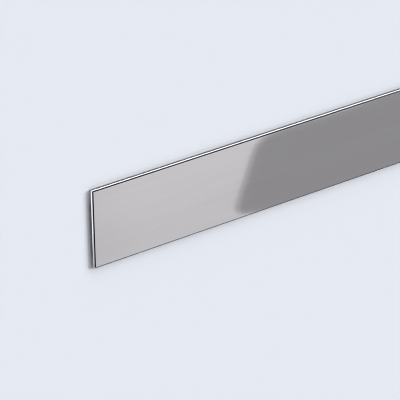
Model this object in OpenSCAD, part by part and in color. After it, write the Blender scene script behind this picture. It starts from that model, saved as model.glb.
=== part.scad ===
// Tile edge trim: a flat strip of polished stainless steel with rounded edges.
// The strip lies on its back with the polished face up. X runs along it, Y across it.
// The origin is the centre of the back, which is the face that is glued down.

/* [Strip] */
// Length of the strip, as it is sold
strip_length = 1000; // [300:10:3000]
// Width of the strip over its long edges
strip_width = 30; // [10:1:60]
// Thickness of the steel
strip_thickness = 1.5; // [1.1:0.1:4]

/* [Edges] */
// Radius of the round edges of the face and of the back, on the long sides and at the cut ends
edge_radius = 0.45; // [0.1:0.05:0.5]

/* [Hidden] */

// Grey of polished stainless steel
steel_colour = [0.74, 0.73, 0.74];
// How far each outline is extruded past the sides that the other outline cuts
cut_margin = 1;
$fn = 64;

// A section through the strip, standing on its back, with a round at each corner
module edge_outline(span) {
    side = span / 2;
    round_centre = side - edge_radius;
    top_centre = strip_thickness - edge_radius;
    translate([-round_centre, 0])
        square([2 * round_centre, strip_thickness]);
    translate([-side, edge_radius])
        square([span, strip_thickness - 2 * edge_radius]);
    for (x = [-round_centre, round_centre], y = [edge_radius, top_centre])
        translate([x, y])
            circle(r = edge_radius);
}

// The outline that shows at a cut end, drawn out along the strip
module long_edges() {
    rotate([90, 0, 90])
        linear_extrude(strip_length + 2 * cut_margin, center = true)
            edge_outline(strip_width);
}

// The outline that shows from a long side, drawn out across the strip
module cut_ends() {
    rotate([90, 0, 0])
        linear_extrude(strip_width + 2 * cut_margin, center = true)
            edge_outline(strip_length);
}

// One length of strip, with the rounds of its long sides and of its cut ends meeting in mitres
module trim_strip() {
    color(steel_colour)
        intersection() {
            long_edges();
            cut_ends();
        }
}

trim_strip();
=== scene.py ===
import math

import bpy
from mathutils import Matrix, Vector


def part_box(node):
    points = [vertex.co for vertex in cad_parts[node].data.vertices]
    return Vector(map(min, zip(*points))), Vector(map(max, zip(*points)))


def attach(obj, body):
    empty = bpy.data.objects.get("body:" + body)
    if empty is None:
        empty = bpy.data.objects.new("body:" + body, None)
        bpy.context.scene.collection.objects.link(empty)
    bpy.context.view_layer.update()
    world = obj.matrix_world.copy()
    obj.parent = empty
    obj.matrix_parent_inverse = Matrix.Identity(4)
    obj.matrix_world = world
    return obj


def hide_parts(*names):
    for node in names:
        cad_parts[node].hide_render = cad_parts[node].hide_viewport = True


# A flat strip of polished stainless steel with rounded edges, lying on its back on a pale studio floor.
# X runs along the strip from left to right, Y across it from front to rear, and Z out of the polished face.
# Lengths are in metres.
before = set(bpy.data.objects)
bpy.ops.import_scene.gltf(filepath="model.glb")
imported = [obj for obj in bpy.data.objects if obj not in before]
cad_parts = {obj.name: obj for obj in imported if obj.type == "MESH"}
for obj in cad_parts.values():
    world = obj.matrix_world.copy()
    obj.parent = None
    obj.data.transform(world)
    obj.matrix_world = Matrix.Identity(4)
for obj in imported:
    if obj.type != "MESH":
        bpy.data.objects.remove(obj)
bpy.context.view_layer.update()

# The strip, from its part in model.glb
STRIP_NODE = "trim_strip"
strip_low, strip_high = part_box(STRIP_NODE)
STRIP_LENGTH = strip_high.x - strip_low.x
STRIP_WIDTH = strip_high.y - strip_low.y
STRIP_THICKNESS = strip_high.z - strip_low.z

# Radius of the round edges of the solid
EDGE_RADIUS = 0.00045

# Mesh cells along and across the strip, points round it at one height, and steps round an edge
LENGTH_CELLS = 252
WIDTH_CELLS = 10
RIM_COUNT = 2 * (LENGTH_CELLS + WIDTH_CELLS)
EDGE_STEPS = 10
# Width of the narrow cells beside the rounds, which keep the flats flat
HOLDING_LOOP = 0.00004
# Faces that meet at a larger angle have a sharp line between them
SHARP_ANGLE = math.radians(30)

# The rolled face is not dead flat: height, length and phase of each wave along the strip,
# and how far the waves shift along the strip for each step across it
FACE_WAVES = ((0.000006, 0.083, 0.4), (0.000004, 0.047, 1.9))
WAVE_SLANT = 0.3

# Finishes of the steel: darkest and lightest colour, lowest and highest roughness,
# scales of the fine lines and of the clouds along X, Y and Z, and strength of the lines' relief
FINISHES = {
    "polished_face": {
        "colours": ((0.713, 0.696, 0.721), (0.733, 0.716, 0.741)),
        "roughness": (0.034, 0.050),
        "line_scale": (15.0, 2500.0, 2500.0),
        "cloud_scale": (25.0, 420.0, 420.0),
        "relief": 0.05,
    },
    "long_edge": {
        "colours": ((0.72, 0.715, 0.725), (0.77, 0.765, 0.775)),
        "roughness": (0.12, 0.18),
        "line_scale": (60.0, 6000.0, 6000.0),
        "cloud_scale": (150.0, 400.0, 400.0),
        "relief": 0.1,
    },
    "cut_end": {
        "colours": ((0.70, 0.695, 0.705), (0.75, 0.745, 0.755)),
        "roughness": (0.14, 0.20),
        "line_scale": (6000.0, 2500.0, 300.0),
        "cloud_scale": (400.0, 200.0, 200.0),
        "relief": 0.1,
    },
    "mill_back": {
        "colours": ((0.56, 0.56, 0.57), (0.62, 0.615, 0.62)),
        "roughness": (0.32, 0.42),
        "line_scale": (25.0, 1800.0, 1800.0),
        "cloud_scale": (20.0, 80.0, 80.0),
        "relief": 0.3,
    },
}
# Detail of the lines and of the clouds, the middle range of their noise, and the depth of the relief
LINE_DETAIL = 3.0
CLOUD_DETAIL = 2.0
NOISE_RANGE = (0.3, 0.7)
RELIEF_DEPTH = 0.00001

# The camera looks down at a point on the face near the left end
CAMERA_LENS_MM = 240.0
CAMERA_SENSOR_MM = 36.0
CAMERA_AZIMUTH = math.radians(-130.36)
CAMERA_ELEVATION = math.radians(46.50)
CAMERA_ROLL = math.radians(120.78)
CAMERA_DISTANCE = 0.9450
AIM_FROM_LEFT_END = 0.04547
AIM_FROM_MIDDLE = -0.00214
# Width of the pixel filter in pixels: narrow, so that the thin lines of the edges stay crisp
PIXEL_FILTER = 1.1

# Studio floor and backdrop
FLOOR_SIZE = 90.0
FLOOR_DROP = 0.00002
FLOOR_COLOUR = (0.80, 0.83, 0.888, 1.0)
BACKDROP_COLOUR = (0.79, 0.82, 0.89, 1.0)

# White softboxes in a dome of light:
# azimuth of the middle, half width, lower and upper edge, soft margin (all in degrees), brightness
WHITE_LIGHT = (1.0, 1.0, 1.0, 1.0)
WHITE_BOXES = (
    # The key light, beyond the right end
    (12.5, 25.5, 20.0, 41.0, 4.0, 12.4),
    # Side lights at the rear and at the front
    (70.0, 7.0, 4.0, 32.0, 4.0, 13.0),
    (-68.0, 7.0, 18.0, 50.0, 4.0, 8.2),
    # Weak lights that the face mirrors when it is seen from the front, the right or above
    (105.0, 30.0, 0.0, 30.0, 6.0, 0.85),
    (165.0, 30.0, 0.0, 30.0, 6.0, 0.45),
    (0.0, 200.0, 73.0, 95.0, 6.0, 0.4),
    # A weak light in two steps, which the face mirrors when it is seen from low at the rear left
    (-43.5, 7.5, 8.0, 21.0, 3.0, 0.35),
    (-40.5, 4.5, 8.0, 21.0, 3.0, 0.35),
)

# The dome itself and a high softbox, which fill the shadows with a cooler light
COOL_LIGHT = (0.92, 0.91, 1.17, 1.0)
DOME_BRIGHTNESS = 0.01
COOL_BOXES = (
    (130.0, 50.0, 33.0, 60.0, 6.0, 0.36),
)

# A light panel over the strip, which the polished face mirrors.
# It and the cards under it are measured from the left end and from the middle line.
PANEL_HEIGHT = 0.2
PANEL_X = (0.116, 0.362)
PANEL_Y = (-0.1604, -0.0756)
PANEL_BRIGHTNESS = 0.768

# The panel is a little dimmer towards its front and, along a slanting line, towards its left:
# where each fade starts and ends, the share of the light that it takes, and the slant
FRONT_FADE = (-0.1324, -0.1084, 0.055)
LEFT_FADE = (0.100, 0.142, 0.07)
LEFT_FADE_SLANT = 0.18

# Two grey cards under the panel, the darker one below the other:
# left corner, distance below the panel, brightness
GREY_CARDS = ((0.2075, 0.001, 0.48), (0.2098, 0.002, 0.352))
# The front side of both cards at their left corner, the lean of the left side, the slope of the front side,
# the rear side, the rounding of the front and rear corners, and the steps of a rounding
CARD_FRONT = -0.1375
CARD_LEAN = 0.398
CARD_SLOPE = 0.2
CARD_REAR = -0.1020
CARD_ROUNDING = (0.006, 0.0095)
CORNER_STEPS = 8

# Cards on the floor beside the strip, which its edges mirror:
# direction from the middle, nearer distance from the side, farther distance at either end, brightness
EDGE_CARDS = (
    # A grey card at the foot of the rear side
    ((0, 1), 0.0001, (0.00058, 0.00058), 0.22),
    # White cards beyond the grey one and at both ends
    ((0, 1), 0.00058, (0.00105, 0.00105), 5.6),
    ((-1, 0), 0.00034, (0.00040, 0.0013), 1.45),
    ((1, 0), 0.00034, (0.0013, 0.0013), 1.5),
    # A black card along the front
    ((0, -1), 0.0003, (0.06, 0.06), 0.0),
)

# Black flags round the strip, which keep the light of its sides off the floor: distance, upper edge,
# and how far the flag at the left end stays clear of the front and the rear corner
FLAG_DISTANCE = 0.00005
FLAG_TOP = 0.0012
FLAG_GAPS = (0.004, 0.005)


def new_object(name, points, faces):
    """A mesh object in the scene from points and faces."""
    mesh = bpy.data.meshes.new(name)
    mesh.from_pydata(points, [], faces)
    mesh.update()
    made = bpy.data.objects.new(name, mesh)
    bpy.context.scene.collection.objects.link(made)
    return made


def stations(half, cells):
    """Places along a side from minus half to half: a short cell at each end and even cells between."""
    inner = half - HOLDING_LOOP
    return [-half] + [inner * (2 * i / (cells - 2) - 1) for i in range(cells - 1)] + [half]


def rim(inset, height):
    """Points round the strip at one height, starting at the left end of the front long edge."""
    half_length = STRIP_LENGTH / 2 - inset
    half_width = STRIP_WIDTH / 2 - inset
    along = stations(half_length, LENGTH_CELLS)[:-1]
    across = stations(half_width, WIDTH_CELLS)[:-1]
    front = [(x, -half_width, height) for x in along]
    right = [(half_length, y, height) for y in across]
    rear = [(-x, half_width, height) for x in along]
    left = [(-half_length, -y, height) for y in across]
    return front + right + rear + left


def strip_levels():
    """Inset and height of each rim from the back up to the face, and the surface that follows it."""
    quarter = [math.pi / 2 * step / EDGE_STEPS for step in range(EDGE_STEPS + 1)]
    side_top = STRIP_THICKNESS - EDGE_RADIUS
    levels = [(EDGE_RADIUS + HOLDING_LOOP, 0.0, "mill_back")]
    for turn in reversed(quarter):
        levels.append((EDGE_RADIUS * (1 - math.cos(turn)), EDGE_RADIUS * (1 - math.sin(turn)), "side"))
    levels.append((0.0, EDGE_RADIUS + HOLDING_LOOP, "side"))
    levels.append((0.0, side_top - HOLDING_LOOP, "side"))
    for turn in quarter:
        inset = EDGE_RADIUS * (1 - math.cos(turn))
        levels.append((inset, side_top + EDGE_RADIUS * math.sin(turn), "polished_face"))
    levels.append((EDGE_RADIUS + HOLDING_LOOP, STRIP_THICKNESS, "polished_face"))
    return levels


def band_faces(level, surface):
    """Faces between a rim and the next one, and the finish of each face."""
    faces = []
    finishes = []
    below = level * RIM_COUNT
    above = below + RIM_COUNT
    for k in range(RIM_COUNT):
        after = (k + 1) % RIM_COUNT
        faces.append((below + k, below + after, above + after, above + k))
        on_end = LENGTH_CELLS <= k < RIM_COUNT / 2 or k >= RIM_COUNT - WIDTH_CELLS
        if surface == "side":
            finishes.append("cut_end" if on_end else "long_edge")
        else:
            finishes.append(surface)
    return faces, finishes


def face_wave(x, y):
    """Height of the face's slight waviness, which fades out at its edges."""
    fade = math.cos(math.pi * x / STRIP_LENGTH) * math.cos(math.pi * y / STRIP_WIDTH)
    place = x + WAVE_SLANT * y
    lift = 0.0
    for height, length, phase in FACE_WAVES:
        lift += height * math.sin(2 * math.pi * place / length + phase)
    return fade * lift


def flat_points(inset, height, wavy):
    """The points of a flat inside its rim."""
    points = []
    for x in stations(STRIP_LENGTH / 2 - inset, LENGTH_CELLS)[1:-1]:
        for y in stations(STRIP_WIDTH / 2 - inset, WIDTH_CELLS)[1:-1]:
            lift = face_wave(x, y) if wavy else 0.0
            points.append((x, y, height + lift))
    return points


def grid_index(i, j, rim_start, inner_start):
    """Index of a grid point of a flat that is bounded by a rim and filled with inner points."""
    if j == 0:
        return rim_start + i
    if i == LENGTH_CELLS:
        return rim_start + LENGTH_CELLS + j
    if j == WIDTH_CELLS:
        return rim_start + 2 * LENGTH_CELLS + WIDTH_CELLS - i
    if i == 0:
        return rim_start + RIM_COUNT - j
    return inner_start + (i - 1) * (WIDTH_CELLS - 1) + j - 1


def flat_faces(rim_start, inner_start):
    """The faces of a flat, facing up."""
    faces = []
    for i in range(LENGTH_CELLS):
        for j in range(WIDTH_CELLS):
            cell = ((i, j), (i + 1, j), (i + 1, j + 1), (i, j + 1))
            faces.append(tuple(grid_index(a, b, rim_start, inner_start) for a, b in cell))
    return faces


def strip_mesh():
    """Points and faces of the whole strip, and the finish of each face."""
    levels = strip_levels()
    top = len(levels) - 1
    points = [point for inset, height, _ in levels for point in rim(inset, height)]
    faces = []
    finishes = []
    for level in range(top):
        band, band_finishes = band_faces(level, levels[level][2])
        faces += band
        finishes += band_finishes
    for level, finish in ((top, "polished_face"), (0, "mill_back")):
        inset, height, _ = levels[level]
        cells = flat_faces(level * RIM_COUNT, len(points))
        points += flat_points(inset, height, wavy=level == top)
        faces += cells if level == top else [tuple(reversed(cell)) for cell in cells]
        finishes += [finish] * len(cells)
    return points, faces, finishes


def streaks(tree, scale, detail):
    """A noise that is stretched by a different scale along each axis of the strip."""
    place = tree.nodes.new("ShaderNodeTexCoord")
    stretch = tree.nodes.new("ShaderNodeMapping")
    stretch.inputs["Scale"].default_value = scale
    noise = tree.nodes.new("ShaderNodeTexNoise")
    noise.inputs["Scale"].default_value = 1.0
    noise.inputs["Detail"].default_value = detail
    tree.links.new(place.outputs["Object"], stretch.inputs["Vector"])
    tree.links.new(stretch.outputs["Vector"], noise.inputs["Vector"])
    return noise.outputs["Fac"]


def spread(tree, value, low, high):
    """Maps the middle range of a noise to a range from low to high."""
    noise_low, noise_high = NOISE_RANGE
    node = tree.nodes.new("ShaderNodeMapRange")
    node.inputs["From Min"].default_value = noise_low
    node.inputs["From Max"].default_value = noise_high
    node.inputs["To Min"].default_value = low
    node.inputs["To Max"].default_value = high
    tree.links.new(value, node.inputs["Value"])
    return node.outputs["Result"]


def steel(name, colours, roughness, line_scale, cloud_scale, relief):
    """Stainless steel with clouded colour, and with fine lines in its roughness and its relief."""
    material = bpy.data.materials.new(name)
    material.use_nodes = True
    tree = material.node_tree
    shader = tree.nodes["Principled BSDF"]
    shader.inputs["Metallic"].default_value = 1.0
    lines = streaks(tree, line_scale, LINE_DETAIL)
    clouds = streaks(tree, cloud_scale, CLOUD_DETAIL)
    dark, light = colours
    tone = tree.nodes.new("ShaderNodeMix")
    tone.data_type = "RGBA"
    tone.inputs["A"].default_value = (*dark, 1.0)
    tone.inputs["B"].default_value = (*light, 1.0)
    tree.links.new(spread(tree, clouds, 0.0, 1.0), tone.inputs["Factor"])
    tree.links.new(tone.outputs["Result"], shader.inputs["Base Color"])
    tree.links.new(spread(tree, lines, *roughness), shader.inputs["Roughness"])
    bump = tree.nodes.new("ShaderNodeBump")
    bump.inputs["Strength"].default_value = relief
    bump.inputs["Distance"].default_value = RELIEF_DEPTH
    tree.links.new(lines, bump.inputs["Height"])
    tree.links.new(bump.outputs["Normal"], shader.inputs["Normal"])
    return material


def build_strip():
    """The strip as one closed mesh, with its own finish on each surface."""
    points, faces, finishes = strip_mesh()
    strip = new_object("steel_strip", points, faces)
    for name, finish in FINISHES.items():
        strip.data.materials.append(steel(name, **finish))
    names = list(FINISHES)
    strip.data.polygons.foreach_set("material_index", [names.index(finish) for finish in finishes])
    strip.data.shade_smooth()
    strip.data.set_sharp_from_angle(angle=SHARP_ANGLE)
    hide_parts(STRIP_NODE)
    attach(strip, "root")


def maths(tree, operation, *values):
    """A math node on sockets or numbers."""
    node = tree.nodes.new("ShaderNodeMath")
    node.operation = operation
    for place, value in enumerate(values):
        if isinstance(value, (int, float)):
            node.inputs[place].default_value = value
        else:
            tree.links.new(value, node.inputs[place])
    return node.outputs[0]


def ramp(tree, value, start, end):
    """0 below start and 1 above end, with a smooth step between them. It falls where end is below start."""
    node = tree.nodes.new("ShaderNodeMapRange")
    node.interpolation_type = "SMOOTHSTEP"
    rising = end > start
    node.inputs["From Min"].default_value = min(start, end)
    node.inputs["From Max"].default_value = max(start, end)
    node.inputs["To Min"].default_value = 0.0 if rising else 1.0
    node.inputs["To Max"].default_value = 1.0 if rising else 0.0
    tree.links.new(value, node.inputs["Value"])
    return node.outputs["Result"]


def glow(name, brightness):
    """A material that only shines, or a black one that swallows light at no brightness."""
    material = bpy.data.materials.new(name)
    material.use_nodes = True
    tree = material.node_tree
    tree.nodes.clear()
    shine = tree.nodes.new("ShaderNodeEmission")
    shine.inputs["Strength"].default_value = brightness
    output = tree.nodes.new("ShaderNodeOutputMaterial")
    tree.links.new(shine.outputs["Emission"], output.inputs["Surface"])
    return material


def fade_panel(material):
    """Dims a panel's shine towards its front and its left."""
    tree = material.node_tree
    place = tree.nodes.new("ShaderNodeSeparateXYZ")
    tree.links.new(tree.nodes.new("ShaderNodeTexCoord").outputs["Object"], place.inputs["Vector"])
    from_left = maths(tree, "SUBTRACT", place.outputs["X"], strip_low.x)
    slanted = maths(tree, "MULTIPLY_ADD", place.outputs["Y"], LEFT_FADE_SLANT, from_left)
    brightness = PANEL_BRIGHTNESS
    for value, (start, end, share) in ((place.outputs["Y"], FRONT_FADE), (slanted, LEFT_FADE)):
        kept = maths(tree, "MULTIPLY_ADD", ramp(tree, value, start, end), share, 1 - share)
        brightness = maths(tree, "MULTIPLY", kept, brightness)
    tree.links.new(brightness, tree.nodes["Emission"].inputs["Strength"])


def studio_card(name, points, faces, brightness, mirrored):
    """A card that the camera never sees. It shows in reflections only, or it shades the floor only."""
    card = new_object(name, points, faces)
    card.data.materials.append(glow(name, brightness))
    card.visible_camera = False
    card.visible_glossy = mirrored
    card.visible_diffuse = not mirrored
    card.visible_shadow = not mirrored
    return card


def level_card(name, outline, height, brightness):
    """A level card over the strip. Its outline is measured from the left end."""
    points = [(strip_low.x + x, y, STRIP_THICKNESS + height) for x, y in outline]
    return studio_card(name, points, [tuple(range(len(points)))], brightness, True)


def rounded(corners, radii):
    """A flat outline whose corners are rounded, each by its own radius."""
    outline = []
    for k, radius in enumerate(radii):
        before, corner, after = (Vector(corners[(k + n) % len(corners)]) for n in (-1, 0, 1))
        start = corner + radius * (before - corner).normalized()
        end = corner + radius * (after - corner).normalized()
        for step in range(CORNER_STEPS + 1):
            t = step / CORNER_STEPS
            outline.append(tuple((1 - t) ** 2 * start + 2 * t * (1 - t) * corner + t ** 2 * end))
    return outline


def edge_card(outward, near, far, brightness):
    """A card on the floor along one side of the strip, which shows in reflections only."""
    out_x, out_y = outward
    half_length = STRIP_LENGTH / 2
    half_width = STRIP_WIDTH / 2
    points = []
    for distance, end in ((near, -1), (far[0], -1), (far[1], 1), (near, 1)):
        x = out_x * (half_length + distance) + out_y * end * half_length
        y = out_y * (half_width + distance) - out_x * end * half_width
        points.append((x, y, 0.0))
    studio_card("edge_card", points, [(0, 1, 2, 3)], brightness, True)


def flag(line):
    """A low black wall along a line on the floor, which only shades the floor."""
    points = [(*place, height) for height in (-FLOOR_DROP, FLAG_TOP) for place in line]
    count = len(line)
    faces = [(k, k + 1, count + k + 1, count + k) for k in range(count - 1)]
    studio_card("flag", points, faces, 0.0, False)


def build_flags():
    """One flag along the front, the right end and the rear, and a shorter one at the left end."""
    x = STRIP_LENGTH / 2 + FLAG_DISTANCE
    y = STRIP_WIDTH / 2 + FLAG_DISTANCE
    front_gap, rear_gap = FLAG_GAPS
    flag([(-x, -y), (x, -y), (x, y), (-x, y)])
    flag([(-x, y - rear_gap), (-x, front_gap - y)])


def build_cards():
    """The panel and the grey cards over the strip, the cards beside its edges, and the flags round it."""
    (x0, x1), (y0, y1) = PANEL_X, PANEL_Y
    outline = [(x0, y0), (x1, y0), (x1, y1), (x0, y1)]
    panel = level_card("light_panel", outline, PANEL_HEIGHT, PANEL_BRIGHTNESS)
    fade_panel(panel.data.materials[0])
    front, rear = CARD_ROUNDING
    for left, drop, brightness in GREY_CARDS:
        rear_left = (left + CARD_LEAN * (CARD_REAR - CARD_FRONT), CARD_REAR)
        front_right = (x1, CARD_FRONT - CARD_SLOPE * (x1 - left))
        corners = [(left, CARD_FRONT), front_right, (x1, CARD_REAR), rear_left]
        outline = rounded(corners, [front, front, rear, rear])
        level_card("grey_card", outline, PANEL_HEIGHT - drop, brightness)
    for outward, near, far, brightness in EDGE_CARDS:
        edge_card(outward, near, far, brightness)
    build_flags()


def build_floor():
    """A plain pale floor without gloss."""
    half = FLOOR_SIZE / 2
    corners = [(-half, -half), (half, -half), (half, half), (-half, half)]
    floor = new_object("floor", [(x, y, -FLOOR_DROP) for x, y in corners], [(0, 1, 2, 3)])
    material = bpy.data.materials.new("floor")
    material.use_nodes = True
    shader = material.node_tree.nodes["Principled BSDF"]
    shader.inputs["Base Color"].default_value = FLOOR_COLOUR
    shader.inputs["Specular IOR Level"].default_value = 0.0
    floor.data.materials.append(material)


def softbox(tree, direction, azimuth, half_width, low, high, soft):
    """1 inside a patch of the dome and 0 outside it. Angles are in radians."""
    turn = tree.nodes.new("ShaderNodeVectorRotate")
    turn.rotation_type = "Z_AXIS"
    turn.inputs["Angle"].default_value = -azimuth
    split = tree.nodes.new("ShaderNodeSeparateXYZ")
    tree.links.new(direction, turn.inputs["Vector"])
    tree.links.new(turn.outputs["Vector"], split.inputs["Vector"])
    sideways = maths(tree, "ABSOLUTE", maths(tree, "ARCTAN2", split.outputs["Y"], split.outputs["X"]))
    upwards = maths(tree, "ARCSINE", split.outputs["Z"])
    within = ramp(tree, sideways, half_width + soft / 2, half_width - soft / 2)
    above = ramp(tree, upwards, low - soft / 2, low + soft / 2)
    below = ramp(tree, upwards, high + soft / 2, high - soft / 2)
    return maths(tree, "MULTIPLY", within, maths(tree, "MULTIPLY", above, below))


def dome_lights(tree, direction, colour, brightness, softboxes):
    """Light of one colour from the whole dome and from the softboxes in it."""
    for *angles, strength in softboxes:
        patch = softbox(tree, direction, *map(math.radians, angles))
        brightness = maths(tree, "MULTIPLY_ADD", patch, strength, brightness)
    lights = tree.nodes.new("ShaderNodeBackground")
    lights.inputs["Color"].default_value = colour
    tree.links.new(brightness, lights.inputs["Strength"])
    return lights.outputs["Background"]


def build_world():
    """A dome of soft light with softboxes in it, and a pale backdrop that only the camera sees."""
    world = bpy.data.worlds.new("studio")
    bpy.context.scene.world = world
    world.use_nodes = True
    tree = world.node_tree
    tree.nodes.clear()
    direction = tree.nodes.new("ShaderNodeTexCoord").outputs["Generated"]
    both = tree.nodes.new("ShaderNodeAddShader")
    tree.links.new(dome_lights(tree, direction, WHITE_LIGHT, 0.0, WHITE_BOXES), both.inputs[0])
    tree.links.new(dome_lights(tree, direction, COOL_LIGHT, DOME_BRIGHTNESS, COOL_BOXES), both.inputs[1])
    backdrop = tree.nodes.new("ShaderNodeBackground")
    backdrop.inputs["Color"].default_value = BACKDROP_COLOUR
    seen = tree.nodes.new("ShaderNodeLightPath").outputs["Is Camera Ray"]
    mix = tree.nodes.new("ShaderNodeMixShader")
    output = tree.nodes.new("ShaderNodeOutputWorld")
    tree.links.new(seen, mix.inputs["Fac"])
    tree.links.new(both.outputs["Shader"], mix.inputs[1])
    tree.links.new(backdrop.outputs["Background"], mix.inputs[2])
    tree.links.new(mix.outputs["Shader"], output.inputs["Surface"])


def build_camera():
    """A long lens that looks down on the left end of the strip."""
    data = bpy.data.cameras.new("camera")
    data.lens = CAMERA_LENS_MM
    data.sensor_width = CAMERA_SENSOR_MM
    camera = bpy.data.objects.new("camera", data)
    bpy.context.scene.collection.objects.link(camera)
    level = math.cos(CAMERA_ELEVATION)
    to_camera = Vector((
        math.sin(CAMERA_AZIMUTH) * level,
        -math.cos(CAMERA_AZIMUTH) * level,
        math.sin(CAMERA_ELEVATION),
    ))
    aim = Vector((strip_low.x + AIM_FROM_LEFT_END, AIM_FROM_MIDDLE, STRIP_THICKNESS))
    facing = to_camera.to_track_quat("Z", "Y") @ Matrix.Rotation(CAMERA_ROLL, 3, "Z").to_quaternion()
    camera.matrix_world = Matrix.LocRotScale(aim + CAMERA_DISTANCE * to_camera, facing, None)
    bpy.context.scene.camera = camera


build_camera()
build_world()
build_floor()
build_cards()
build_strip()
bpy.context.scene.view_settings.view_transform = "Standard"
bpy.context.scene.cycles.filter_width = PIXEL_FILTER

bpy.context.view_layer.update()
